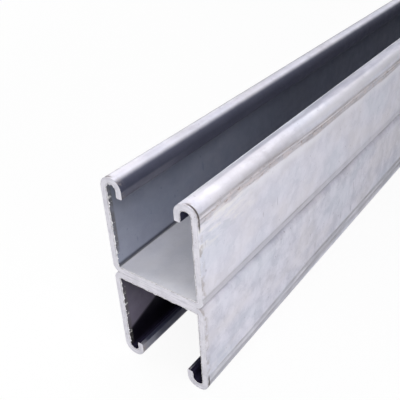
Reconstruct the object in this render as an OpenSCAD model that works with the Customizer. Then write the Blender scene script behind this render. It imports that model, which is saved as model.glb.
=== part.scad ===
// Back-to-back strut channel.
//
// Two lengths of the same lipped channel, each rolled from one strip of galvanised
// steel, lie web against web and are held together by a row of spot welds. The upper
// slot opens upwards and the lower slot opens downwards, and the stock rests on the
// rounded lips of the lower channel.
//
// Z is up, Y runs along the stock and X runs across it. The origin is the middle of
// the rectangle that the stock covers on the surface it rests on.

/* [Stock] */
// Length that the stock is cut to
length = 1000; // [150:1:6000]

/* [Channel section] */
// Width of a channel over the outside of its two walls
channel_w = 41.3; // [36:0.1:62]
// Height of one channel, from the back of its web to the top of its lips
channel_h = 41.3; // [20.6:0.1:82.6]
// Thickness of the steel strip
steel_t = 2.66; // [1.5:0.01:2.9]
// Inside radius of the two bends between web and walls
web_bend_r = 0.6; // [0.3:0.1:3]

/* [Lips] */
// Width of one lip, from the outside of the wall to the edge of the slot
lip_w = 9.5; // [9.4:0.1:13]
// Depth of one lip, from its top to the tip of its turned-in edge
lip_drop = 7.5; // [5.5:0.1:12]
// Inside radius of the two bends that roll the top of a wall into its lip
lip_bend_r = 1.8; // [0.8:0.1:2]
// Radius on the two corners of the turned-in edge's tip
tip_r = 0.5; // [0.1:0.05:0.7]

/* [Spot welds] */
// Diameter of the dent that a welding electrode leaves, at its mouth
weld_d = 8; // [5:0.5:12]
// Depth of that dent
weld_dent = 0.35; // [0.1:0.05:0.8]
// Distance between the centres of neighbouring welds
weld_pitch = 75; // [40:1:150]
// Least distance from a sawn end to the centre of the first weld
weld_end = 50; // [20:1:70]

/* [Hidden] */
$fn = 96;

// The strip keeps its thickness in a bend, so each outside radius follows
web_outer_r = web_bend_r + steel_t;
lip_outer_r = lip_bend_r + steel_t;

// As many welds as fit between the two ends, spaced evenly about the middle
weld_count = floor((length - 2 * weld_end) / weld_pitch) + 1;
weld_span = (weld_count - 1) * weld_pitch;
// The electrode's flat face, inside the dent's sloping rim
weld_face_d = weld_d - 4 * weld_dent;

// How far a cutting shape runs past the face that it cuts
past = 1;

// ---- The strip's section: X across, Y up, the back of the web at Y = 0 ----

// A quarter ring of strip in the corner where X and Y are positive
module bend(inside_r) {
    outside_r = inside_r + steel_t;
    intersection() {
        difference() {
            circle(r = outside_r);
            circle(r = inside_r);
        }
        square(outside_r + past);
    }
}

// A flat stretch of strip with its lower left corner at x, y
module flat(x, y, w, h) {
    translate([x, y])
        square([w, h]);
}

// What rounding takes off a square corner whose point is at the origin
module corner_waste() {
    difference() {
        translate([-past, -past])
            square(tip_r + past);
        translate([tip_r, tip_r])
            circle(r = tip_r);
    }
}

// The turned-in edge of a lip hangs from its second bend and ends in a rounded tip
module turned_in_edge() {
    difference() {
        square([steel_t, lip_drop - lip_outer_r]);
        corner_waste();
        translate([steel_t, 0])
            mirror([1, 0])
                corner_waste();
    }
}

// Everything on one side of the web's flat: the bend, the wall and the rolled lip
module side() {
    wall_x = channel_w / 2;
    slot_x = wall_x - lip_w;
    bend_y = channel_h - lip_outer_r;

    translate([wall_x - web_outer_r, web_outer_r])
        mirror([0, 1])
            bend(web_bend_r);
    flat(wall_x - steel_t, web_outer_r, steel_t, bend_y - web_outer_r);
    translate([wall_x - lip_outer_r, bend_y])
        bend(lip_bend_r);
    flat(slot_x + lip_outer_r, channel_h - steel_t, lip_w - 2 * lip_outer_r, steel_t);
    translate([slot_x + lip_outer_r, bend_y])
        mirror([1, 0])
            bend(lip_bend_r);
    translate([slot_x, channel_h - lip_drop])
        turned_in_edge();
}

module section() {
    web_flat = channel_w - 2 * web_outer_r;
    flat(-web_flat / 2, 0, web_flat, steel_t);
    side();
    mirror([1, 0])
        side();
}

// ---- One channel, lying on the back of its web with its slot upwards ----

// The dent that one electrode leaves in the inner face of a web
module weld_mark() {
    translate([0, 0, steel_t - weld_dent])
        cylinder(h = 2 * weld_dent, d1 = weld_face_d, d2 = 2 * weld_d - weld_face_d);
}

module channel() {
    difference() {
        rotate([90, 0, 0])
            linear_extrude(height = length, center = true)
                section();
        for (i = [0 : weld_count - 1])
            translate([0, i * weld_pitch - weld_span / 2, 0])
                weld_mark();
    }
}

// ---- The two channels, web against web ----

module upper_channel() {
    color("gainsboro")
        translate([0, 0, channel_h])
            channel();
}

module lower_channel() {
    color("lightsteelblue")
        translate([0, 0, channel_h])
            mirror([0, 0, 1])
                channel();
}

upper_channel();
lower_channel();
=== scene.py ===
# %% [markdown]
# # A back-to-back strut channel
# Strut channel is a strip of zinc-coated steel, rolled into a U whose two edges turn in and back down.
# Two such channels are spot welded back to back along their webs, and the pair is sawn to length.
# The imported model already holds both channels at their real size. Here they get the surface of the
# real thing: scored and streaked zinc, weld marks, and a bare, ragged saw cut at each end.

# %% Load the frame
import math

import bpy
import numpy as np
from mathutils import Matrix, Vector


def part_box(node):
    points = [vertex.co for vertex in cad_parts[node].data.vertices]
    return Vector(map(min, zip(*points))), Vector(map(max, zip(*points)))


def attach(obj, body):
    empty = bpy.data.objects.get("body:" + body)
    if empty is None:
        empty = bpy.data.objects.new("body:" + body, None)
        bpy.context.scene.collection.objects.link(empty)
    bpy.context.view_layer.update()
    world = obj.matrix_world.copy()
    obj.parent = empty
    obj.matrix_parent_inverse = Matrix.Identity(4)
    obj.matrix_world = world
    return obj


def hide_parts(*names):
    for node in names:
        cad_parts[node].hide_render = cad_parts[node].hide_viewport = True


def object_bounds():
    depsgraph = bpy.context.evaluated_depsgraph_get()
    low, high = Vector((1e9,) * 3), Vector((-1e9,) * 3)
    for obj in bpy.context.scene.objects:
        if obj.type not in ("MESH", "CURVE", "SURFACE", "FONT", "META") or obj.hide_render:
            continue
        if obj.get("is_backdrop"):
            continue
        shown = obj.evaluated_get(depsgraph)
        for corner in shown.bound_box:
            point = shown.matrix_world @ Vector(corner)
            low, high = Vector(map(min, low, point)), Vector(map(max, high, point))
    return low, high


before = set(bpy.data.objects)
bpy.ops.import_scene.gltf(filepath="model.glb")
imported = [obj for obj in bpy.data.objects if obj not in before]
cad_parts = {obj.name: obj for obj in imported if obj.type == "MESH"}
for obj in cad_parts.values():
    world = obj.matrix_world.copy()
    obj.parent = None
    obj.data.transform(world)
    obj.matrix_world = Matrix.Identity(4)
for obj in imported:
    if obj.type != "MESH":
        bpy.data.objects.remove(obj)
cad_low, cad_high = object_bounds()
upper_low, upper_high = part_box("upper_channel")
_, lower_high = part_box("lower_channel")
MM = 0.001
print("stock:", [round(side / MM, 2) for side in cad_high - cad_low], "mm")

# %% [markdown]
# The camera stands close to the sawn end, to the right of it and above it, and looks back along the
# stock. A camera needs a place and a turn. Both follow from the point it aims at, its distance from
# that point, an angle round the object and an angle above the floor, and a slight lean to one side.

# %% Camera
AIM_ALONG = 28.2 * MM
AIM_HEIGHT = 63.9 * MM
CAMERA_DISTANCE = 216.4 * MM
CAMERA_AROUND = math.radians(38.1)
CAMERA_ABOVE = math.radians(32.1)
CAMERA_LEAN = math.radians(3.5)
CAMERA_LENS = 52.9

aim = Vector(((cad_low.x + cad_high.x) / 2, cad_low.y + AIM_ALONG, cad_low.z + AIM_HEIGHT))
to_camera = Vector((
    math.sin(CAMERA_AROUND) * math.cos(CAMERA_ABOVE),
    -math.cos(CAMERA_AROUND) * math.cos(CAMERA_ABOVE),
    math.sin(CAMERA_ABOVE),
))
camera_data = bpy.data.cameras.new("camera")
camera_data.lens = CAMERA_LENS
camera_data.clip_start = 0.01
camera = bpy.data.objects.new("camera", camera_data)
upright = (-to_camera).to_track_quat("-Z", "Y").to_matrix()
camera.matrix_world = (
    Matrix.Translation(aim + to_camera * CAMERA_DISTANCE)
    @ (upright @ Matrix.Rotation(-CAMERA_LEAN, 3, "Z")).to_4x4()
)
bpy.context.scene.collection.objects.link(camera)
bpy.context.scene.camera = camera
bpy.context.scene.view_settings.view_transform = "Standard"
print("camera at", [round(c / MM, 1) for c in camera.matrix_world.translation], "mm")

# %% [markdown]
# ## The strip's section
# A rolled section is one strip of constant thickness, so the simplest true description is a walk along
# the middle of the steel: straight, bend, straight, bend. Each step is a length and a curvature.
# Heights are measured from the outside of the web, and only one half is walked, since the other is
# its mirror image.

# %% Steps of the walk
STEEL = 2.66 * MM
WEB_BEND = 0.6 * MM
LIP_BEND = 1.8 * MM
LIP_WIDTH = 9.5 * MM
LIP_DROP = 7.5 * MM
TIP_ROUND = 0.5 * MM

half_width = (upper_high.x - upper_low.x) / 2
height = upper_high.z - upper_low.z
web_outer = WEB_BEND + STEEL
lip_outer = LIP_BEND + STEEL
quarter = math.pi / 2
step_length = np.array([
    half_width - web_outer,
    quarter * (WEB_BEND + STEEL / 2),
    height - web_outer - lip_outer,
    quarter * (LIP_BEND + STEEL / 2),
    LIP_WIDTH - 2 * lip_outer,
    quarter * (LIP_BEND + STEEL / 2),
    LIP_DROP - lip_outer,
])
step_curve = np.array([
    0, 1 / (WEB_BEND + STEEL / 2), 0, 1 / (LIP_BEND + STEEL / 2), 0, 1 / (LIP_BEND + STEEL / 2), 0,
])
step_start = np.concatenate([[0], np.cumsum(step_length)])
half_strip = step_start[-1]
WEB_END, WALL_FOOT, WALL_TOP = step_start[1:4]
print("flat strip:", round(2 * half_strip / MM, 1), "mm wide before it is rolled")


# %% [markdown]
# Points on the section are worked out as complex numbers, where the real part runs sideways and the
# imaginary part runs up. A step of length l and curvature k that starts with heading h moves by
# the turn e^(ih) times the chord of its arc, and that one formula covers straights and bends.

# %% Walk the middle of the steel
def chord(length, curve):
    """Chord of an arc as a complex number: (e^(i k l) - 1) / (i k), which is l itself where k is 0."""
    bent = np.where(curve == 0, 1, curve)
    return np.where(curve == 0, length, (np.exp(1j * bent * length) - 1) / (1j * bent))


heading = np.concatenate([[0], np.cumsum(step_length * step_curve)])
moves = np.exp(1j * heading[:-1]) * chord(step_length, step_curve)
corner = 1j * STEEL / 2 + np.concatenate([[0], np.cumsum(moves)])


def walk(across):
    """Place and outward normal on the strip's middle line, at a signed distance across the strip.
    The step is looked up, its start is moved on by the chord of the rest, and the normal points to
    the right of the heading. The left half is the right half mirrored."""
    distance = np.abs(across)
    step = np.clip(np.searchsorted(step_start, distance, side="right") - 1, 0, len(step_length) - 1)
    rest = distance - step_start[step]
    place = corner[step] + np.exp(1j * heading[step]) * chord(rest, step_curve[step])
    normal = -1j * np.exp(1j * (heading[step] + rest * step_curve[step]))
    side = np.where(across < 0, -1, 1)
    return side * place.real + 1j * place.imag, side * normal.real + 1j * normal.imag


def half_thickness(across):
    """Half the steel's thickness, rounded off at the strip's slit edges: at a distance e inside the
    edge and a rounding r, it is less by r minus the root of r squared minus (r - e) squared."""
    inside = np.clip(TIP_ROUND - (half_strip - np.abs(across)), 0, TIP_ROUND)
    return STEEL / 2 - TIP_ROUND + np.sqrt(TIP_ROUND ** 2 - inside ** 2)


tip, _ = walk(np.array([half_strip]))
print("tip of the lip:", round(tip[0].real / MM, 2), round(tip[0].imag / MM, 2), "mm")

# %% [markdown]
# ## Where the surface needs points
# The grid runs across the strip and along the stock. It has to be fine only where the shape turns:
# round the bends, at the score lines that the rolls leave beside each bend, at the rounded tips, at
# the weld marks and near the saw cuts. Everywhere else long faces do.

# %% Lines across the strip
SCORES = np.array([WALL_FOOT + 0.5 * MM, WALL_TOP - 0.5 * MM, WALL_TOP + 0.9 * MM])
SCORE_WIDTH = 0.22 * MM
SCORE_DEPTH = 0.07 * MM
FACES_PER_STEP = [16, 10, 16, 11, 1, 11, 3]

bends_and_flats = [
    np.linspace(start, start + length, faces + 1)
    for start, length, faces in zip(step_start, step_length, FACES_PER_STEP)
]
beside_scores = (SCORES[:, None] + SCORE_WIDTH * np.linspace(-1.6, 1.6, 5)).ravel()
round_tip = half_strip - TIP_ROUND * (1 - np.cos(np.linspace(0, quarter, 5)))
half_lines = np.unique(np.round(np.concatenate([*bends_and_flats, beside_scores, round_tip]), 7))
across_lines = np.concatenate([-half_lines[:0:-1], half_lines])
print(len(across_lines), "lines across the strip")

# %% Lines along the stock
WELD_PITCH = 75 * MM
WELD_FROM_END = 50 * MM
WELD_WIDTH = 8 * MM
WELD_DENT = 0.35 * MM
EVEN_LINES = 121

front, back = cad_low.y, cad_high.y
weld_count = round((back - front - 2 * WELD_FROM_END) / WELD_PITCH) + 1
weld_places = np.linspace(front + WELD_FROM_END, back - WELD_FROM_END, weld_count)
beside_welds = (weld_places[:, None] + WELD_WIDTH * np.linspace(-0.6, 0.6, 7)).ravel()
beside_cuts = np.array([0, 0.12, 0.3, 0.6, 1, 1.6, 2.5, 4, 6]) * MM
even_lines = np.linspace(front, back, EVEN_LINES)
along_lines = np.unique(np.round(np.concatenate([
    even_lines, beside_welds, front + beside_cuts, back - beside_cuts,
]), 6))
print(len(along_lines), "lines along the stock,", weld_count, "welds")

# %% [markdown]
# ## Relief
# The walls are not quite flat, the rolls leave a score beside each bend, and each spot weld leaves a
# dish. Bump in the material could imitate these, but only moved points also bend a highlight as
# they should. Relief is a depth taken off the skin, never added, so the channel stays within its
# real size.


# %% Relief of the two skins
RIPPLE_SIZE = 0.012 * MM


def score_lines(across):
    """Sum of bell shapes, one for each score: depth times e^-(distance / width) squared."""
    offset = (np.abs(across)[..., None] - SCORES) / SCORE_WIDTH
    return SCORE_DEPTH * np.exp(-offset ** 2).sum(-1)


def ripple(across, along, phase):
    """Three slow sine waves, crossed at slants, lifted so that they stay above zero."""
    return RIPPLE_SIZE * (
        3
        + np.sin(along / (23 * MM) + across / (11 * MM) + phase)
        + np.sin(along / (9.1 * MM) - across / (7 * MM) + 2 * phase)
        + np.sin(along / (61 * MM) + across / (19 * MM) + 3 * phase)
    )


def weld_dish(across, along):
    """A dish of depth d and radius R at each weld: d times (1 - r^2 / R^2) squared inside R."""
    nearest = weld_places[np.argmin(np.abs(along[..., None] - weld_places), axis=-1)]
    share = (across ** 2 + (along - nearest) ** 2) / (WELD_WIDTH / 2) ** 2
    return WELD_DENT * np.clip(1 - share, 0, 1) ** 2


def skin_depth(across, along, outside, phase):
    """Relief of one skin: scores and ripples outside, weld dishes and ripples inside. The backs of
    the two webs touch, so the ripple fades out there."""
    off_web = np.clip((np.abs(across) - WEB_END) / (2 * MM), 0, 1)
    if outside:
        return off_web * (score_lines(across) + ripple(across, along, phase))
    return weld_dish(across, along) + ripple(across, along, phase + 1.7)


print("relief up to", round((SCORE_DEPTH + 6 * RIPPLE_SIZE) / MM, 2), "mm outside")

# %% [markdown]
# ## One channel as a mapped box
# A channel is a long flat box of steel that has been bent, so its surface is the surface of a box
# with three coordinates: across the strip, through its thickness and along the stock. The four long
# faces share one closed loop of points at each line along the stock, and a grid over the
# section closes each end with the loop's own points, which leaves no seam.

# %% Build a channel
THROUGH_STEPS = 5


def grid_faces(index):
    """Quads over a grid of point numbers: each cell joins its four corners in turn."""
    return np.stack([index[:-1, :-1], index[1:, :-1], index[1:, 1:], index[:-1, 1:]], -1).reshape(-1, 4)


def section_point(across, through, along, web_z, up, phase):
    """A point of the bent box. Through runs from -1 on the inner skin to 1 on the outer one, and
    moves the point along the normal by that share of the half thickness, less the skin's relief."""
    middle, normal = walk(across)
    outer = half_thickness(across) - skin_depth(across, along, True, phase)
    inner = half_thickness(across) - skin_depth(across, along, False, phase)
    offset = np.where(through > 0, through * outer, through * inner)
    place = middle + normal * offset
    return np.stack([place.real, along, web_z + up * place.imag], -1)


def make_mesh(name, points, faces, floats):
    """A mesh from point and face arrays, with a point attribute for each named array of numbers."""
    mesh = bpy.data.meshes.new(name)
    mesh.from_pydata(points.tolist(), [], faces.tolist())
    for attribute, values in floats.items():
        mesh.attributes.new(attribute, "FLOAT", "POINT").data.foreach_set(
            "value", np.asarray(values, np.float32)
        )
    mesh.validate()
    piece = bpy.data.objects.new(name, mesh)
    bpy.context.scene.collection.objects.link(piece)
    return piece


def make_channel(name, web_z, up, phase):
    """Loop points swept along the stock, and two end grids that share them."""
    lines = len(across_lines)
    share = np.linspace(1, -1, THROUGH_STEPS + 1)
    between = share[1:-1]
    loop_across = np.concatenate([
        across_lines, np.full(len(between), half_strip),
        across_lines[::-1], np.full(len(between), -half_strip),
    ])
    loop_through = np.concatenate([np.ones(lines), between, -np.ones(lines), between[::-1]])
    loop = len(loop_across)
    across, along = np.meshgrid(loop_across, along_lines)
    through = np.broadcast_to(loop_through, across.shape)
    swept = section_point(across, through, along, web_z, up, phase).reshape(-1, 3)
    sides = np.arange(len(along_lines) * loop).reshape(-1, loop)
    side_faces = grid_faces(np.concatenate([sides, sides[:, :1]], 1))

    points, attributes, faces = [swept], [(across.ravel(), through.ravel())], [side_faces]
    inner_across, inner_through = np.meshgrid(across_lines[1:-1], between, indexing="ij")
    for number, (row, place) in enumerate(((0, front), (-1, back))):
        ring = sides[row]
        index = np.empty((lines, THROUGH_STEPS + 1), int)
        index[:, 0] = ring[:lines]
        index[-1, 1:-1] = ring[lines:lines + len(between)]
        index[:, -1] = ring[lines + len(between):2 * lines + len(between)][::-1]
        index[0, 1:-1] = ring[2 * lines + len(between):][::-1]
        start = len(swept) + number * inner_across.size
        index[1:-1, 1:-1] = start + np.arange(inner_across.size).reshape(inner_across.shape)
        flat = np.full(inner_across.shape, place)
        points.append(section_point(inner_across, inner_through, flat, web_z, up, phase).reshape(-1, 3))
        attributes.append((inner_across.ravel(), inner_through.ravel()))
        cap = grid_faces(index)
        faces.append(cap[:, ::-1] if number else cap)
    points = np.concatenate(points)
    faces_all = np.concatenate(faces)
    if up < 0:
        faces_all = faces_all[:, ::-1]
    across_all = np.concatenate([a for a, _ in attributes])
    through_all = np.concatenate([t for _, t in attributes])
    piece = make_mesh(name, points, faces_all, {
        "across": across_all, "through": through_all,
        "from_end": np.minimum(points[:, 1] - front, back - points[:, 1]),
        "lower": np.full(len(points), float(up < 0)),
    })
    is_cap = np.arange(len(faces_all)) >= len(side_faces)
    piece.data.polygons.foreach_set("material_index", is_cap.astype(np.int32))
    piece.data.polygons.foreach_set("use_smooth", ~is_cap)
    print(name, len(points), "points,", 2 * len(faces_all), "triangles")
    return piece


joint_z = (upper_low.z + lower_high.z) / 2
upper_channel = make_channel("upper_channel_steel", joint_z, 1, 0.0)
lower_channel = make_channel("lower_channel_steel", joint_z, -1, 2.4)

# %% [markdown]
# ## Saw burrs
# A saw leaves a torn fringe of steel where it breaks out of the metal, here along the inner edge of
# the cut. It is too ragged to draw, so its size comes from random numbers with a fixed seed. A broad
# run of them says where the fringe is strong, and a fine run makes the single teeth. The fringe is a
# thin closed body: a small wedge carried along the inner skin of the section.

# %% Size of the fringe
BURR_SPACING = 0.14 * MM
TOOTH_SIZE = 1.15 * MM
LEDGE_SIZE = 0.45 * MM
BURR_ROOT = 0.12 * MM
BURR_DEPTH = 0.22 * MM
BURR_PLACES = np.array([-half_strip, -WALL_TOP, -WALL_FOOT, -WEB_END, WEB_END, WALL_TOP, half_strip])
TOOTH_SHARES = np.array([0.0, 1.0, 0.8, 0.25, 0.25, 0.2, 0.0])
LEDGE_SHARES = np.array([0.0, 0.2, 0.3, 1.0, 1.0, 0.3, 0.0])
STRENGTH_SPACING = 4 * MM
TOOTH_SPACING = 0.6 * MM
LEDGE_SPACING = 1.3 * MM
FEW_LONG = 2.5


def random_line(across, spacing, random):
    """Straight lines drawn through one random number from 0 to 1 at every spacing."""
    marks = np.arange(-half_strip, half_strip + spacing, spacing)
    return np.interp(across, marks, random.random(len(marks)))


def fringe(across, seed):
    """Teeth plus ledges. A tooth is its greatest size, times a broad random line, times a narrow one to
    a power, so that only a few are long. A ledge is a slower random line squared. Each has its
    own share at every place on the strip, and a little roughness goes over both."""
    random = np.random.default_rng(seed)
    broad = 0.35 + 0.65 * random_line(across, STRENGTH_SPACING, random)
    teeth = TOOTH_SIZE * np.interp(across, BURR_PLACES, TOOTH_SHARES) * broad
    teeth = teeth * random_line(across, TOOTH_SPACING, random) ** FEW_LONG
    ledges = LEDGE_SIZE * np.interp(across, BURR_PLACES, LEDGE_SHARES)
    ledges = ledges * random_line(across, LEDGE_SPACING, random) ** 2
    return (teeth + ledges) * (0.8 + 0.2 * random.random(len(across)))


print("teeth up to", round(TOOTH_SIZE / MM, 2), "mm, ledges up to", round(LEDGE_SIZE / MM, 2), "mm")

# %% Carry the wedge along the cut
WEDGE_OUT = np.array([0, 0.35, 1.0, 0.9, 0.3, 0])
WEDGE_INTO = np.array([0, 0, 0.25, 0.5, 0.6, 1.0])
TORN_THROUGH = 2.0


def make_burr(name, web_z, up, end, into, seed):
    """Each ring is the wedge: a share of the fringe's size away from the inner skin, and a share of its
    depth into the stock. The root is sunk in the steel. Two quads close each end. The attribute through
    is 2, past any place in the strip, which tells the material that this is torn steel."""
    across = np.arange(-half_strip + MM, half_strip - MM, BURR_SPACING)
    middle, normal = walk(across)
    size = fringe(across, seed)[:, None]
    rooted = WEDGE_OUT == 0
    out = half_thickness(across)[:, None] - np.where(rooted, BURR_ROOT, -WEDGE_OUT * size)
    place = middle[:, None] - normal[:, None] * out
    along = end + into * (BURR_DEPTH + 0.3 * size) * WEDGE_INTO
    points = np.stack([place.real, along, web_z + up * place.imag], -1)
    index = np.arange(along.size).reshape(along.shape)
    ends = np.concatenate([index[[0]][:, [0, 1, 2, 3]], index[[0]][:, [0, 3, 4, 5]],
                           index[[-1]][:, [3, 2, 1, 0]], index[[-1]][:, [5, 4, 3, 0]]])
    faces = np.concatenate([grid_faces(np.concatenate([index, index[:, :1]], 1)), ends])
    if up * into < 0:
        faces = faces[:, ::-1]
    torn = {"through": np.full(points.size // 3, TORN_THROUGH)}
    piece = make_mesh(name, points.reshape(-1, 3), faces, torn)
    print(name, len(faces), "faces, longest tooth", round(float(size.max()) / MM, 2), "mm")
    return piece


burrs = [
    make_burr("upper_front_burr", joint_z, 1, front, 1, 11),
    make_burr("lower_front_burr", joint_z, -1, front, 1, 23),
    make_burr("upper_back_burr", joint_z, 1, back, -1, 37),
    make_burr("lower_back_burr", joint_z, -1, back, -1, 41),
]

# %% [markdown]
# ## Materials
# A node material is a small calculation done at each point of the surface. Unlike an image it has no
# resolution, so it stays sharp close to the saw cut. A few helpers keep it readable: they add a
# node with its settings and inputs, turn a value into a soft step, and lay one colour over another.


# %% Node helpers
BUMP_STRENGTH = 0.4


class Nodes:
    """Adds nodes to one material. An input given as a socket is linked, and any other is a value."""

    def __init__(self, name):
        """An empty material, and the place of each point in Object coordinates."""
        self.material = bpy.data.materials.new(name)
        self.material.use_nodes = True
        self.tree = self.material.node_tree
        self.tree.nodes.clear()
        self.place = self.add("TexCoord").outputs["Object"]

    def add(self, kind, inputs=(), **settings):
        """A node of one kind. Inputs maps a socket's name or number to a value or another socket."""
        node = self.tree.nodes.new("ShaderNode" + kind)
        for key, value in settings.items():
            setattr(node, key, value)
        for key, value in dict(inputs).items():
            if isinstance(value, bpy.types.NodeSocket):
                self.tree.links.new(value, node.inputs[key])
            else:
                node.inputs[key].default_value = value
        return node

    def math(self, operation, *values):
        """The result of a maths node."""
        return self.add("Math", dict(enumerate(values)), operation=operation).outputs[0]

    def times(self, *factors):
        """The product of several factors."""
        product = factors[0]
        for factor in factors[1:]:
            product = self.math("MULTIPLY", product, factor)
        return product

    def but(self, factor):
        """Everything but a factor: 1 less the factor."""
        return self.math("SUBTRACT", 1.0, factor)

    def step(self, value, low, high, start=0.0, end=1.0):
        """Start below low, end above high, and a smooth turn between them. With low and high the other
        way round it falls instead."""
        inputs = {"Value": value, "From Min": low, "From Max": high, "To Min": start, "To Max": end}
        return self.add("MapRange", inputs, interpolation_type="SMOOTHSTEP").outputs[0]

    def stripe(self, value, place, half_width, soft):
        """1 within a half width of a place, 0 beyond it, with a soft edge."""
        away = self.math("ABSOLUTE", self.math("SUBTRACT", value, float(place)))
        return self.step(away, half_width + soft, half_width - soft)

    def noise(self, scale, stretch=(1, 1, 1), detail=2.0, shift=(0, 0, 0), rough=0.5):
        """Noise over Object coordinates, scaled per metre, and stretched by a Mapping node. A small
        second stretch makes it long along the stock."""
        mapped = self.add("Mapping", {"Vector": self.place, "Scale": stretch, "Location": shift})
        inputs = {"Vector": mapped.outputs[0], "Scale": scale, "Detail": detail, "Roughness": rough}
        return self.add("TexNoise", inputs).outputs["Fac"]

    def mix(self, factor, first, second):
        """A colour between two, by a factor from 0 to 1."""
        node = self.add("Mix", data_type="RGBA")
        for socket, value in (("Factor_Float", factor), ("A_Color", first), ("B_Color", second)):
            target = next(s for s in node.inputs if s.identifier == socket)
            if isinstance(value, bpy.types.NodeSocket):
                self.tree.links.new(value, target)
            else:
                target.default_value = value if isinstance(value, float) else (*value, 1.0)
        return next(s for s in node.outputs if s.identifier == "Result_Color")

    def lay(self, colour, paint, *factors):
        """Paint laid over a colour, as strongly as the product of the factors."""
        return self.mix(self.times(*factors), colour, paint)

    def attribute(self, name):
        """A number stored at each point of the mesh."""
        return self.add("Attribute", attribute_name=name).outputs["Fac"]

    def surface(self, colour, metallic, roughness, height, depth):
        """Ends the material with one shader, over bump from a height between 0 and a depth."""
        bump = self.add("Bump", {"Height": height, "Strength": BUMP_STRENGTH, "Distance": depth})
        shader = self.add("BsdfPrincipled", {
            "Base Color": colour, "Metallic": metallic, "Roughness": roughness,
            "Normal": bump.outputs[0],
        })
        self.add("OutputMaterial", {"Surface": shader.outputs[0]})
        return self.material


# %% [markdown]
# Wear, dirt and painted shade follow the strip round its bends, so a pattern in space would cut across
# them. The zinc reads the numbers that were stored at each point of the mesh instead: the distance
# across the strip, the skin, the distance from the nearer end, and the channel.


# %% Strip helper
class StripNodes(Nodes):
    """Nodes that also know the place on the strip. Across is the distance from the strip's middle line
    and from_end the one from the nearer end. The others are factors: 1 there and 0 elsewhere."""

    def __init__(self, name):
        """Left turns over 2 mm at the middle line, and each skin is a step over through."""
        super().__init__(name)
        signed = self.attribute("across")
        self.across = self.math("ABSOLUTE", signed)
        self.from_end = self.attribute("from_end")
        self.left = self.step(signed, MM, -MM)
        self.lower = self.attribute("lower")
        self.upper = self.but(self.lower)
        through = self.attribute("through")
        self.outside = self.step(through, 0.0, 0.6)
        self.inside = self.step(through, 0.4, -0.4)
        self.upper_skin = self.times(self.outside, self.upper)


stored = [a.name for a in upper_channel.data.attributes if a.data_type == "FLOAT"]
print("numbers stored at each point:", stored)

# %% [markdown]
# ### Zinc coat
# The coat is a dull grey with a touch of violet. Zinc sets in small crystals, so it is mottled at every
# scale from a millimetre to a few centimetres, mostly in brightness and hardly in hue. One noise
# with many octaves gives that, cells give the crystals, and a second noise gives a few dark specks.

# %% Mottled coat
ZINC_PALE = (0.725, 0.715, 0.80)
ZINC_GREY = (0.55, 0.55, 0.635)
ZINC_WARM = (0.71, 0.675, 0.70)
ZINC_COOL = (0.60, 0.64, 0.73)
ZINC_CRYSTAL = (0.79, 0.78, 0.86)
SPECK = (0.25, 0.23, 0.30)
CRYSTALS_PER_METRE = 330.0


def mottled_coat(n):
    """The coat before anything has rubbed it: each layer is a noise put through a soft step. The lower
    channel is a little more mottled."""
    clouds = n.noise(90, detail=7.0, rough=0.72)
    strength = n.math("MULTIPLY_ADD", n.lower, 0.4, 0.5)
    colour = n.lay(ZINC_PALE, ZINC_GREY, n.step(clouds, 0.38, 0.62), strength)
    drift = n.noise(45, stretch=(1, 0.6, 1), detail=3.0, shift=(3, 1, 2))
    colour = n.lay(colour, ZINC_WARM, n.step(drift, 0.46, 0.64, 0.0, 0.42))
    colour = n.lay(colour, ZINC_COOL, n.step(drift, 0.50, 0.34, 0.0, 0.38))
    cells = n.add("TexVoronoi", {"Vector": n.place, "Scale": CRYSTALS_PER_METRE}).outputs["Color"]
    crystal = n.add("SeparateColor", {"Color": cells}).outputs[0]
    colour = n.lay(colour, ZINC_CRYSTAL, n.step(crystal, 0.3, 1.0, 0.0, 0.28))
    specks = n.noise(520, detail=1.0, shift=(5, 2, 1))
    colour = n.lay(colour, SPECK, n.step(specks, 0.735, 0.79, 0.0, 0.4))
    nicks = n.noise(430, stretch=(1, 1, 0.22), detail=1.0, shift=(2, 6, 7))
    return n.lay(colour, SPECK, n.step(nicks, 0.745, 0.80, 0.0, 0.38))


print("zinc crystals about", round(1000 / CRYSTALS_PER_METRE, 1), "mm across")

# %% [markdown]
# ### Marks of the rolls
# Beside the lip bends the rolls press hard. They polish a strip of the wall, and above it they rub the
# coat to a grey-brown band with tan flecks, rust dots and fine broken lines. The band's upper part, on
# the shoulder of the lip's bend, is also painted shade under the crest. Away from the end the band
# lies a little lower. It could be painted by hand on an image, but stripes at a place across the
# strip, broken up by noise stretched along it, stay sharp at any distance.

# %% Polish and rubbed band
# Colours of the band: rubbed coat, and painted shade on the shoulders of the lips
RUB_AND_SHADE_BROWN = (0.31, 0.285, 0.31)
RUB_AND_SHADE_GREY = (0.33, 0.325, 0.36)
POLISH_AND_HIGHLIGHT = (0.81, 0.80, 0.86)
BAND_REACH = 1.9 * MM
LOWER_BAND_REACH = 4.0 * MM
BAND_DRIFT = 2.0 * MM
BAND_WANDER = 0.6 * MM


def polish(n, colour, height, wander):
    """A polished strip of the upper wall, between two heights below its top."""
    strip = n.times(n.step(height, 1.5 * MM, 3.0 * MM), n.step(height, 6.8 * MM, 3.2 * MM))
    strength = n.step(wander, BAND_WANDER / 2, -BAND_WANDER / 2, 0.45, 0.75)
    return n.lay(colour, POLISH_AND_HIGHLIGHT, strip, n.upper_skin, strength)


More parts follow.
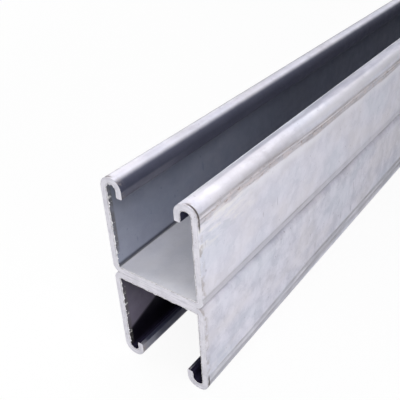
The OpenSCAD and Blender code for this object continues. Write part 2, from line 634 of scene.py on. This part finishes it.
def rubbed_and_shaded_band(n, colour, height, drift):
    """From the lip's bend down to the band's reach, which grows a little with the drift. Brown on the
    upper channel and grey on the lower one, in patches stretched along the stock. It is partly rubbed
    coat and partly painted shade on the shoulder below the lip's crest."""
    reach = n.math("MULTIPLY_ADD", n.lower, LOWER_BAND_REACH - BAND_REACH, BAND_REACH)
    reach = n.math("MULTIPLY_ADD", drift, 0.35, reach)
    below = n.step(n.math("SUBTRACT", height, reach), 0.6 * MM, -0.6 * MM)
    above = n.step(height, -2.3 * MM, -0.8 * MM)
    patchy = n.noise(300, stretch=(1, 0.12, 1), detail=5.0, shift=(6, 3, 9), rough=0.7)
    paint = n.mix(n.upper, RUB_AND_SHADE_GREY, RUB_AND_SHADE_BROWN)
    return n.lay(colour, paint, above, below, n.outside, n.step(patchy, 0.38, 0.62, 0.32, 0.62))


print("band reaches", round(BAND_REACH / MM, 1), "and", round(LOWER_BAND_REACH / MM, 1), "mm down")

# %% Flecks and rust dots
RUB_TAN = (0.64, 0.575, 0.585)
RUST_BROWN = (0.36, 0.285, 0.27)
FLECKS_PER_METRE = 640.0
DOTS_PER_METRE = 820.0


def flecks_and_dots(n, colour, height):
    """Where a fine noise is high, tan flecks in the upper band, and where a finer one is, rust dots."""
    flecks = n.noise(FLECKS_PER_METRE, stretch=(1, 0.28, 1), detail=4.0, shift=(1, 7, 3), rough=0.75)
    reach = n.times(n.step(height, -1.6 * MM, 0.2 * MM), n.step(height, 3.6 * MM, 1.6 * MM))
    colour = n.lay(colour, RUB_TAN, n.step(flecks, 0.46, 0.58, 0.0, 0.75), reach, n.upper_skin)
    dots = n.noise(DOTS_PER_METRE, stretch=(1, 0.5, 1), detail=3.0, shift=(8, 5, 2), rough=0.6)
    reach = n.times(n.step(height, -1.2 * MM, 0.0), n.step(height, 2.6 * MM, 1.4 * MM))
    return n.lay(colour, RUST_BROWN, n.step(dots, 0.57, 0.64, 0.0, 0.7), reach, n.upper_skin)


print("flecks about", round(1000 / FLECKS_PER_METRE, 1), "mm wide")

# %% Fine lines
SCORE_BRIGHT = (0.86, 0.84, 0.87)
SCORE_DARK = (0.17, 0.145, 0.14)
BRIGHT_LINE = float(SCORES[1] + SCORES[2]) / 2
LINE_SOFT = 0.2 * MM
UPPER_LINES = (
    (SCORES[1] - 1.5 * MM, 0.25 * MM, 0.3, SCORE_DARK),
    (SCORES[1], 0.28 * MM, 0.5, SCORE_DARK),
    (SCORES[2], 0.28 * MM, 0.5, SCORE_DARK),
    (BRIGHT_LINE, 0.28 * MM, 0.6, SCORE_BRIGHT),
)
LOWER_LINES = (
    (WALL_TOP - 3.7 * MM, 0.5 * MM, 0.45, SCORE_DARK),
    (SCORES[1], 0.45 * MM, 0.45, SCORE_DARK),
    (WALL_TOP - 2.1 * MM, 0.6 * MM, 0.5, SCORE_BRIGHT),
)


def fine_lines(n, colour, across):
    """A soft stripe for each line, given as place, half width, strength and colour. A long noise breaks
    it: the strength drops to a tenth of its full value."""
    broken = n.noise(420, stretch=(1, 0.11, 1), detail=6.0, shift=(2, 9, 5), rough=0.8)
    for channel, lines in ((n.upper, UPPER_LINES), (n.lower, LOWER_LINES)):
        for place, half_width, strength, paint in lines:
            line = n.stripe(across, place, half_width, LINE_SOFT)
            whole = n.step(broken, 0.42, 0.62, 0.1 * strength, strength)
            colour = n.lay(colour, paint, line, n.outside, channel, whole)
    return colour


def roll_marks_and_shoulder_shade(n, colour):
    """All of the band, rubbed coat with painted shade in its upper part. Height is the distance below
    the top of the wall. A slow noise makes it wander, and away from the end everything drifts down the
    wall."""
    drift = n.step(n.from_end, 25 * MM, 100 * MM, 0.0, BAND_DRIFT)
    across = n.math("ADD", n.across, drift)
    slow = n.noise(70, stretch=(1, 0.3, 1), detail=4.0, shift=(0, 4, 0))
    wander = n.step(slow, 0.3, 0.7, -BAND_WANDER, BAND_WANDER)
    height = n.math("ADD", n.math("SUBTRACT", WALL_TOP, across), wander)
    colour = polish(n, colour, height, wander)
    # The rubbed band, partly painted shade on the lip's shoulder
    colour = rubbed_and_shaded_band(n, colour, height, drift)
    colour = flecks_and_dots(n, colour, height)
    return fine_lines(n, colour, across)


print("bright line", round((BRIGHT_LINE - WALL_TOP) / MM, 2), "mm past the top of the wall")

# %% [markdown]
# ### The joint
# The two channels meet in a crease, and the crease and the wall beside it get painted shade: nearly
# black in the crease, a darker foot and a darker bend on the upper wall, and just above the bend a
# thin, broken dark line. Light alone would leave the crease too pale, so a stripe or a step across the
# strip paints each of them.

# %% Painted shade at the joint
# Grey for dull patches of wear on the lips, and for painted shade at the joint and further back
WEAR_AND_SHADE_GREY = (0.40, 0.39, 0.44)
# Near-black painted shade for creases and inner corners
CREASE_SHADE = (0.042, 0.045, 0.062)
BEND_LINE = WALL_FOOT + 1.5 * MM


def joint_painted_shade(n, colour):
    """Painted shade: a darker foot of the upper wall, a thin line, a darker bend, and the crease of
    both channels. The line and the bend weaken along the stock."""
    fade = n.step(n.from_end, 125 * MM, 65 * MM, 0.35, 1.0)
    foot = n.step(n.across, WALL_FOOT + 4 * MM, WALL_FOOT + 1 * MM)
    colour = n.lay(colour, WEAR_AND_SHADE_GREY, foot, n.upper_skin, 0.22)
    broken = n.noise(300, stretch=(1, 0.12, 1), detail=4.0, shift=(7, 2, 4), rough=0.7)
    line = n.stripe(n.across, BEND_LINE, 0.45 * MM, 0.35 * MM)
    line = n.times(line, n.upper_skin, fade, n.step(broken, 0.36, 0.6, 0.10, 0.36))
    colour = n.lay(colour, CREASE_SHADE, line)
    bend = n.step(n.across, WALL_FOOT + 1.9 * MM, WALL_FOOT + 0.5 * MM)
    colour = n.lay(colour, WEAR_AND_SHADE_GREY, bend, n.upper_skin, fade, 0.36)
    # Painted shade in the crease, broken up by noise
    crease = n.step(n.across, WALL_FOOT - 1.2 * MM, WEB_END + 0.6 * MM)
    crease_break = n.noise(240, stretch=(1, 0.2, 1), detail=3.0, shift=(3, 3, 3))
    return n.lay(colour, CREASE_SHADE, crease, n.outside, n.step(crease_break, 0.4, 0.6, 0.08, 0.32))


print("line above the joint", round(BEND_LINE / MM, 1), "mm across the strip")

# %% [markdown]
# ### The lips
# Hands, ropes and other stock rub the lips, so their crests are brighter in some places and duller in
# others. A painted highlight widens the crest of the right lip and, away from the end, the shoulders,
# and further back the lips get a little painted shade. A broken blue-grey line of painted shade runs
# along the edge of the slot. The left lip has a grey line of painted shade on its shoulder instead.
# Past the bend the lip is painted slate, as shade. Each mark is a stripe or a step across the strip,
# and the distance from the end sets its strength.

# %% Worn lips, painted highlights and painted shade
LIP_TURN, LIP_EDGE = step_start[5], step_start[6]


def lip_wear_and_painted_light(n, colour):
    """A painted highlight past the crest of the right lip, bright and dull patches of wear from one
    noise, a painted highlight on the shoulders away from the end, and a little painted shade further
    back."""
    # Painted highlight that widens the crest of the right lip
    line = n.stripe(n.across, LIP_TURN + 2.0 * MM, 0.8 * MM, 0.5 * MM)
    colour = n.lay(colour, POLISH_AND_HIGHLIGHT, line, n.upper_skin, n.but(n.left), 0.5)
    wear = n.noise(120, stretch=(1, 0.45, 1), detail=5.0, shift=(4, 4, 9), rough=0.6)
    crest = n.times(n.step(n.across, WALL_TOP + 1.5 * MM, WALL_TOP + 3.5 * MM), n.upper_skin)
    colour = n.lay(colour, POLISH_AND_HIGHLIGHT, crest, n.step(wear, 0.53, 0.66, 0.0, 0.6))
    colour = n.lay(colour, WEAR_AND_SHADE_GREY, crest, n.step(wear, 0.45, 0.34, 0.0, 0.3))
    # Painted highlight on the shoulders away from the end
    shoulder = n.stripe(n.across, WALL_TOP + 1.9 * MM, 0.8 * MM, 0.6 * MM)
    further = n.step(n.from_end, 50 * MM, 90 * MM, 0.0, 0.8)
    colour = n.lay(colour, POLISH_AND_HIGHLIGHT, shoulder, n.upper_skin, further)
    # Painted shade further back along the stock
    whole_lip = n.step(n.across, WALL_TOP + 1 * MM, WALL_TOP + 3 * MM)
    furthest = n.step(n.from_end, 70 * MM, 160 * MM, 0.0, 0.14)
    return n.lay(colour, WEAR_AND_SHADE_GREY, whole_lip, n.upper_skin, furthest)


print("lip turns down", round(LIP_TURN / MM, 1), "mm across the strip")

# %% Painted shade at the edge of the slot
# Colours of painted shade on the slot side of the lips
SLOT_EDGE_SHADE = (0.33, 0.335, 0.415)
SLOT_SHADE_SLATE = (0.036, 0.04, 0.076)
LEFT_TURNS_EARLIER = 1.9 * MM


def slot_painted_shade(n, colour):
    """Painted shade on the lips. The blue-grey line starts earlier further back, and is faint on the
    left lip and beside the cut. The slate starts past the bend, earlier on the left lip, and is weaker
    beside the cut."""
    moved = n.math("MULTIPLY_ADD", n.step(n.from_end, 40 * MM, 120 * MM), 1.5 * MM, n.across)
    line = n.times(n.step(moved, LIP_TURN - 0.9 * MM, LIP_TURN + 0.2 * MM),
                   n.step(n.across, LIP_TURN + 1.9 * MM, LIP_TURN + 0.9 * MM),
                   n.step(n.from_end, 2 * MM, 28 * MM, 0.2, 1.0))
    faint = n.math("MULTIPLY_ADD", n.left, -0.85, 1.0)
    broken = n.noise(210, stretch=(1, 0.12, 1), detail=4.0, shift=(5, 5, 0), rough=0.65)
    broken = n.step(broken, 0.35, 0.6, 0.35, 0.8)
    colour = n.lay(colour, SLOT_EDGE_SHADE, line, n.upper_skin, faint, broken)
    # Grey line of painted shade on the left lip's shoulder
    shoulder = n.stripe(n.across, WALL_TOP + 3.5 * MM, 0.6 * MM, 0.5 * MM)
    further = n.step(n.from_end, 5 * MM, 80 * MM, 0.3, 0.62)
    colour = n.lay(colour, RUB_AND_SHADE_GREY, shoulder, n.upper_skin, n.left, further)

    # Slate past the bend is painted shade
    over = n.math("MULTIPLY_ADD", n.times(n.left, n.upper), LEFT_TURNS_EARLIER, n.across)
    slate = n.step(over, LIP_TURN + 2.8 * MM, LIP_TURN + 4.5 * MM)
    lower_cut = n.times(n.lower, n.step(n.from_end, 14 * MM, 2 * MM, 0.0, 0.35))
    upper_cut = n.times(n.upper, n.step(n.from_end, 45 * MM, 12 * MM, 0.0, 0.12),
                        n.step(n.across, LIP_TURN + 4.5 * MM, LIP_EDGE + 0.4 * MM))
    strength = n.math("SUBTRACT", 0.94, n.math("ADD", lower_cut, upper_cut))
    return n.lay(colour, SLOT_SHADE_SLATE, slate, n.outside, strength)


print("left lip turns dark", round(LEFT_TURNS_EARLIER / MM, 1), "mm earlier")

# %% [markdown]
# ### Inside the channels
# Inside, shade is painted. The side walls are blue slate, darker under the lips and further in, while
# the web stays paler. The lower channel opens downwards and gets no light from above: it is painted
# purple-black, apart from a corner beside the cut. Corners and curls are painted nearly black. Light
# alone would only grey a hollow, so the shade is painted by steps across the strip and along the stock.

# %% Painted shade inside
# Colours of painted shade inside the channels
INSIDE_SHADE_SLATE = (0.135, 0.17, 0.25)
LOWER_SHADE_SLATE = (0.21, 0.16, 0.275)
INSIDE_DEEP_SHADE = (0.03, 0.037, 0.07)
WEB_NEUTRAL = (0.76, 0.77, 0.78)


def inside_painted_shade(n, colour):
    """Painted shade: slate on the walls, then darker shade by the greater of two amounts: one grows
    under the lip and one with the distance from the end."""
    on_wall = n.step(n.across, WEB_END + 0.5 * MM, WALL_FOOT)
    colour = n.lay(colour, WEB_NEUTRAL, n.but(on_wall), n.inside, 0.42)
    slate = n.mix(n.lower, INSIDE_SHADE_SLATE, LOWER_SHADE_SLATE)
    colour = n.lay(colour, slate, n.math("MAXIMUM", on_wall, n.lower), n.inside, 0.7)
    # Painted shade under the lips and further in
    under_lip = n.times(n.step(n.across, WALL_FOOT + 8 * MM, WALL_TOP - 6 * MM, 0.0, 0.42),
                        n.step(n.from_end, 8 * MM, 50 * MM, 0.4, 1.0))
    deep = n.times(n.step(n.from_end, 10 * MM, 140 * MM, 0.0, 0.66), on_wall)
    return n.lay(colour, INSIDE_DEEP_SHADE, n.math("MAXIMUM", under_lip, deep), n.inside, n.upper)


print("inside of the web", round(2 * WEB_END / MM, 1), "mm wide")

# %% Painted shadow in the lower channel, and painted shade in corners and curls
# Colours of painted shadow and painted shade
LOWER_SHADOW = (0.004, 0.002, 0.010)
CURL_SHADE = (0.022, 0.018, 0.048)
SHADOW_SLANT = 3.0
SHADOW_FROM = WALL_FOOT + 22.6 * MM


def lower_painted_shadow(n, colour):
    """Painted shadow by the greater of a haze, which thins down the wall, and a slanting edge, where
    the distance from the end plus a share of the distance down the wall passes a limit. The lips' tips
    are painted slate, as shade."""
    slant = n.math("MULTIPLY_ADD", n.math("SUBTRACT", n.across, SHADOW_FROM), SHADOW_SLANT, n.from_end)
    haze = n.step(n.across, WALL_FOOT + 1 * MM, WALL_FOOT + 20 * MM, 0.66, 0.46)
    painted_shadow = n.math("MAXIMUM", n.step(slant, 6 * MM, 17 * MM), haze)
    colour = n.lay(colour, LOWER_SHADOW, painted_shadow, n.inside, n.lower)
    # Painted shade on the tips of the lower lips
    tip = n.step(n.across, half_strip - 0.75 * MM, half_strip - 0.4 * MM)
    return n.lay(colour, SLOT_SHADE_SLATE, tip, n.lower, n.step(n.from_end, 0.5 * MM, 4 * MM, 0.3, 0.9))


def painted_corner_shade(n, colour):
    """Painted shade in the two inner corners, and inside each curl."""
    corner_line = n.times(n.step(n.across, WEB_END - 0.5 * MM, WEB_END + 0.8 * MM),
                          n.step(n.across, WALL_FOOT + 1.3 * MM, WALL_FOOT - 0.1 * MM))
    # Painted shade along the inner corners
    colour = n.lay(colour, CREASE_SHADE, corner_line, n.inside, 0.85)
    curl = n.step(n.across, WALL_TOP + 0.5 * MM, WALL_TOP + 4 * MM)
    return n.lay(colour, CURL_SHADE, curl, n.inside, 0.9)


print("soot slants at", round(math.degrees(math.atan(1 / SHADOW_SLANT))), "degrees to the stock")

# %% [markdown]
# ### Stains beside the cut
# The clamp of the saw scuffs the wall beside the cut. Cutting oil creeps back and leaves brown smudges.
# A dark line round the shoulder of the lips, a little way in from the edge, is a painted shadow.
# Inside, the last two millimetres are brown and scratched, with bright flecks where the zinc is scraped
# off.
# The stored distance from the end puts all of it at both cuts alike.

# %% Scuffs, smudges and the painted shadow line on the shoulders
STAIN_BROWN = (0.34, 0.29, 0.27)
# Colour of the painted shadow line
SHOULDER_SHADOW = (0.07, 0.055, 0.05)
SCUFF_PALE = (0.84, 0.815, 0.81)
SCUFF_BLUE = (0.50, 0.53, 0.60)
SMUDGE_REACH = 3.2 * MM


def outer_stains_and_shoulder_shadow(n, colour):
    """Pale and blue scuffs along the top of the wall, weaker on the lower channel, smudges within 3 mm
    of the end, and a painted shadow line round the shoulders. Noise breaks up the first two."""
    scuffs = n.noise(520, stretch=(1, 0.22, 1), detail=3.0, shift=(7, 2, 5), rough=0.6)
    scuffed = n.times(n.step(n.across, WALL_TOP - 15 * MM, WALL_TOP - 9 * MM),
                      n.step(n.across, WALL_TOP, WALL_TOP - 3 * MM),
                      n.step(n.from_end, 42 * MM, 12 * MM), n.outside,
                      n.math("MULTIPLY_ADD", n.lower, -0.75, 1.0))
    colour = n.lay(colour, SCUFF_PALE, scuffed, n.step(scuffs, 0.50, 0.60, 0.0, 0.6))
    colour = n.lay(colour, SCUFF_BLUE, scuffed, n.step(scuffs, 0.46, 0.36, 0.0, 0.4))
    smudge = n.noise(330, detail=3.0, shift=(4, 0, 8), rough=0.65)
    beside_cut = n.step(n.from_end, SMUDGE_REACH, 0.4 * MM)
    colour = n.lay(colour, STAIN_BROWN, n.step(smudge, 0.44, 0.64, 0.0, 0.6), beside_cut, n.outside)
    # Painted shadow round the shoulders of the lips
    shoulder = n.times(n.stripe(n.across, WALL_TOP + 0.5 * MM, 4.5 * MM, 1.5 * MM),
                       n.stripe(n.from_end, 0.8 * MM, 0.36 * MM, 0.2 * MM))
    return n.lay(colour, SHOULDER_SHADOW, shoulder, n.outside, 0.95)


print("smudges within", round(SMUDGE_REACH / MM, 1), "mm of the end")

# %% Scraped strip inside
SCRAPED_BROWN = (0.13, 0.12, 0.118)
SCRAPED_BRIGHT = (0.70, 0.69, 0.68)
SCRAPED_WIDTH = 2.4 * MM


def scraped_strip(n, colour):
    """A brown strip on the inner walls beside the cut, with bright flecks where a noise is high."""
    on_wall = n.times(n.step(n.across, WALL_FOOT + 3 * MM, WALL_FOOT + 7 * MM),
                      n.step(n.across, WALL_TOP + 2 * MM, WALL_TOP - 1 * MM), n.inside)
    patchy = n.step(n.noise(350, shift=(8, 1, 2)), 0.3, 0.6, 0.3, 0.7)
    beside_cut = n.step(n.from_end, SCRAPED_WIDTH, 1.5 * MM)
    colour = n.lay(colour, SCRAPED_BROWN, beside_cut, on_wall, patchy)
    flecks = n.noise(700, stretch=(1, 0.35, 1), detail=2.0, shift=(3, 8, 6))
    middle = n.stripe(n.from_end, 1.0 * MM, 0.7 * MM, 0.3 * MM)
    return n.lay(colour, SCRAPED_BRIGHT, n.step(flecks, 0.56, 0.64, 0.0, 0.9), middle, on_wall)


print("scraped strip", round(SCRAPED_WIDTH / MM, 1), "mm wide")

# %% [markdown]
# ### The zinc material
# The parts above are layers of one colour, each laid over the last. The surface also needs a finish:
# zinc is partly metal and partly a dull oxide, so the shader is about half metallic and fairly rough.

# %% Zinc material
ZINC_METALLIC = 0.55
ZINC_BUMP = 0.15 * MM


def zinc_material():
    """The coat and all its layers, over bump from a fine peel and a grain along the stock."""
    n = StripNodes("zinc_coat")
    colour = mottled_coat(n)
    for layer in (
        roll_marks_and_shoulder_shade, joint_painted_shade, lip_wear_and_painted_light, slot_painted_shade,
        inside_painted_shade, lower_painted_shadow, painted_corner_shade, outer_stains_and_shoulder_shadow, scraped_strip,
    ):
        colour = layer(n, colour)

    peel = n.noise(420, detail=4.0, shift=(2, 2, 2), rough=0.65)
    grain = n.noise(1500, stretch=(1, 0.03, 1), detail=2.0, shift=(9, 0, 4))
    height = n.math("ADD", n.times(peel, 0.8), n.times(grain, 0.2))
    sheen_patches = n.noise(160, detail=4.0, shift=(8, 8, 1), rough=0.65)
    roughness = n.step(sheen_patches, 0.3, 0.7, 0.50, 0.66)
    return n.surface(colour, ZINC_METALLIC, roughness, height, ZINC_BUMP)


zinc = zinc_material()
print("material", zinc.name, "with", len(zinc.node_tree.nodes), "nodes")

# %% [markdown]
# ### Sawn steel
# The saw leaves bare steel: bright, with fine lines where the teeth passed, a few pits, a stain here
# and there, and faint streaks that follow the strip, because rolled steel has its grain that way.
# The torn burrs are the same steel, only brighter, and the webs meet in a faint dark line. Noise makes
# all of these: squeezed for the lines and streaks, and left as it is for the pits and stains.

# %% Tooth lines and streaks
TOOTH_LINES = {"Rotation": (0, math.radians(24), 0), "Scale": (0.03, 1, 1)}
TEETH_PER_METRE = 2200.0
STREAKS_PER_METRE = 1500.0
STREAK_SQUEEZE = 0.12


def tooth_lines(n):
    """Noise squeezed in one direction and turned by a slant."""
    slant = n.add("Mapping", {"Vector": n.place, **TOOTH_LINES})
    inputs = {"Vector": slant.outputs[0], "Scale": TEETH_PER_METRE, "Detail": 2.0}
    return n.add("TexNoise", inputs).outputs["Fac"]


def rolled_streaks(n, through):
    """Noise over the place across and through the strip, squeezed along the strip."""
    across = n.times(n.attribute("across"), STREAK_SQUEEZE)
    strip = n.add("CombineXYZ", {"X": across, "Y": n.times(through, STEEL / 2)}).outputs[0]
    inputs = {"Vector": strip, "Scale": STREAKS_PER_METRE, "Detail": 3.0, "Roughness": 0.6}
    return n.add("TexNoise", inputs).outputs["Fac"]


print("tooth lines about", round(1000 / TEETH_PER_METRE, 2), "mm apart")

# %% Sawn steel material
SAWN_BRIGHT = (0.70, 0.685, 0.74)
SAWN_DULL = (0.555, 0.545, 0.605)
PIT = (0.34, 0.31, 0.32)
SAWN_EDGE = (0.44, 0.43, 0.48)
TORN_BRIGHT = (0.84, 0.83, 0.86)
SAWN_METALLIC = 0.6
SAWN_BUMP = 0.05 * MM


def sawn_material():
    """Bright steel under stains, streaks, pits, a ragged dark inner edge and a fainter outer one. Past
    the skin, where through is greater than 1, it is torn steel."""
    n = Nodes("sawn_steel")
    through = n.attribute("through")
    stains = n.noise(260, detail=2.0, shift=(1, 1, 1))
    colour = n.lay(SAWN_BRIGHT, SAWN_DULL, n.step(stains, 0.45, 0.7, 0.0, 0.6))
    colour = n.lay(colour, SAWN_DULL, n.step(rolled_streaks(n, through), 0.45, 0.65, 0.0, 0.65))
    pits = n.noise(1100, detail=1.0, shift=(4, 4, 4))
    colour = n.lay(colour, PIT, n.step(pits, 0.70, 0.76, 0.0, 0.7))
    ragged = n.noise(900, detail=3.0, shift=(7, 0, 7), rough=0.7)
    torn = n.math("ADD", through, n.step(ragged, 0.35, 0.65, -0.25, 0.25))
    colour = n.lay(colour, PIT, n.step(torn, -0.78, -0.95, 0.0, 0.7))
    outer_edge = n.step(through, 0.86, 0.97)
    colour = n.lay(colour, SAWN_EDGE, outer_edge, n.step(ragged, 0.35, 0.6, 0.15, 0.7))
    colour = n.lay(colour, TORN_BRIGHT, n.step(through, 1.2, 1.8))
    teeth = tooth_lines(n)
    return n.surface(colour, SAWN_METALLIC, n.step(teeth, 0.3, 0.7, 0.42, 0.6), teeth, SAWN_BUMP)


sawn = sawn_material()
print("material", sawn.name, "with", len(sawn.node_tree.nodes), "nodes")

# %% Put the materials on and say what each piece is
for piece, node_name in ((upper_channel, "upper_channel"), (lower_channel, "lower_channel")):
    piece.data.materials.append(zinc)
    piece.data.materials.append(sawn)
    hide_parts(node_name)
for piece in burrs:
    piece.data.materials.append(sawn)
for piece in (upper_channel, lower_channel, *burrs):
    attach(piece, "root")
print("two channels and", len(burrs), "burrs ride on the root body")

# %% [markdown]
# ## Floor and light
# The floor is plain and pale. Lamps alone would light it unevenly, so where it is seen straight on or
# mirrored in the metal it is mostly a flat white, and the rest is an ordinary surface that keeps
# the shadow. The light is a weak, even sky, two small soft lamps close to the near end, one beside
# it and one in front, a large one high behind, and one on the left for the side that the camera
# doesn't see.

# %% Floor
FLOOR_HALF = 6.0
FLOOR_GREY = 0.76
SEEN_WHITE_SHARE = 0.92
MIRRORED_WHITE_SHARE = 0.35

floor_corners = np.array([[-1, -1, 0], [1, -1, 0], [1, 1, 0], [-1, 1, 0]]) * FLOOR_HALF
floor_mesh = bpy.data.meshes.new("floor")
floor_mesh.from_pydata(floor_corners.tolist(), [], [(0, 1, 2, 3)])
floor = bpy.data.objects.new("floor", floor_mesh)
bpy.context.scene.collection.objects.link(floor)
floor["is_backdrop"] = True

n = Nodes("pale_floor")
rays = n.add("LightPath").outputs
mirrored = n.math("MAXIMUM", rays["Is Glossy Ray"], rays["Is Transmission Ray"])
plain = n.add("BsdfDiffuse", {"Color": (FLOOR_GREY, FLOOR_GREY, FLOOR_GREY, 1)})
white = n.add("Emission", {"Color": (1, 1, 1, 1), "Strength": 1.0})
share = n.math("MAXIMUM", n.math("MULTIPLY", rays["Is Camera Ray"], SEEN_WHITE_SHARE),
               n.math("MULTIPLY", mirrored, MIRRORED_WHITE_SHARE))
blend = n.add("MixShader", {0: share, 1: plain.outputs[0], 2: white.outputs[0]})
n.add("OutputMaterial", {"Surface": blend.outputs[0]})
floor_mesh.materials.append(n.material)
print("floor", 2 * FLOOR_HALF, "m across")

# %% Sky and lamps
SKY_STRENGTH = 0.125
SEEN_SKY = SEEN_WHITE_SHARE + (1 - SEEN_WHITE_SHARE) * FLOOR_GREY * SKY_STRENGTH
world = bpy.data.worlds.new("sky")
world.use_nodes = True
bpy.context.scene.world = world
tree = world.node_tree
tree.nodes.clear()
sky_rays = tree.nodes.new("ShaderNodeLightPath").outputs
lit = tree.nodes.new("ShaderNodeBackground")
lit.inputs["Color"].default_value = (0.97, 0.98, 1.0, 1)
lit.inputs["Strength"].default_value = SKY_STRENGTH
shown = tree.nodes.new("ShaderNodeBackground")
shown.inputs["Color"].default_value = (1, 1, 1, 1)
shown.inputs["Strength"].default_value = SEEN_SKY
choose = tree.nodes.new("ShaderNodeMixShader")
tree.links.new(sky_rays["Is Camera Ray"], choose.inputs[0])
tree.links.new(lit.outputs[0], choose.inputs[1])
tree.links.new(shown.outputs[0], choose.inputs[2])
tree.links.new(choose.outputs[0], tree.nodes.new("ShaderNodeOutputWorld").inputs[0])


def soft_lamp(name, place, target, size, watts):
    """A square lamp that faces a point."""
    lamp = bpy.data.lights.new(name, "AREA")
    lamp.size = size
    lamp.energy = watts
    holder = bpy.data.objects.new(name, lamp)
    holder.location = place
    holder.rotation_euler = (Vector(target) - Vector(place)).to_track_quat("-Z", "Y").to_euler()
    holder.visible_camera = False
    bpy.context.scene.collection.objects.link(holder)


near_end = Vector((0, front, joint_z))
lit_wall = near_end + Vector((0, 0.03, -0.01))
soft_lamp("side_lamp", near_end + Vector((0.2, -0.12, 0.24)), lit_wall, 0.24, 1.02)
soft_lamp("front_lamp", near_end + Vector((0.1, -0.45, 0.2)), near_end, 0.35, 0.85)
soft_lamp("back_lamp", near_end + Vector((0.1, 1.5, 1.5)), near_end, 1.8, 18.5)
soft_lamp("left_lamp", near_end + Vector((-1.0, 0.2, 0.9)), near_end, 0.9, 12)

# %% [markdown]
# ## Size
# How far the finished model reaches past the box of the CAD model is printed, since the looks must
# not change the size.

# %% Sizes and finish
seen_low, seen_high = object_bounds()
grown_low, grown_high = cad_low - seen_low, seen_high - cad_high
print("grown by", [round(v / MM, 3) for v in grown_low], [round(v / MM, 3) for v in grown_high], "mm")
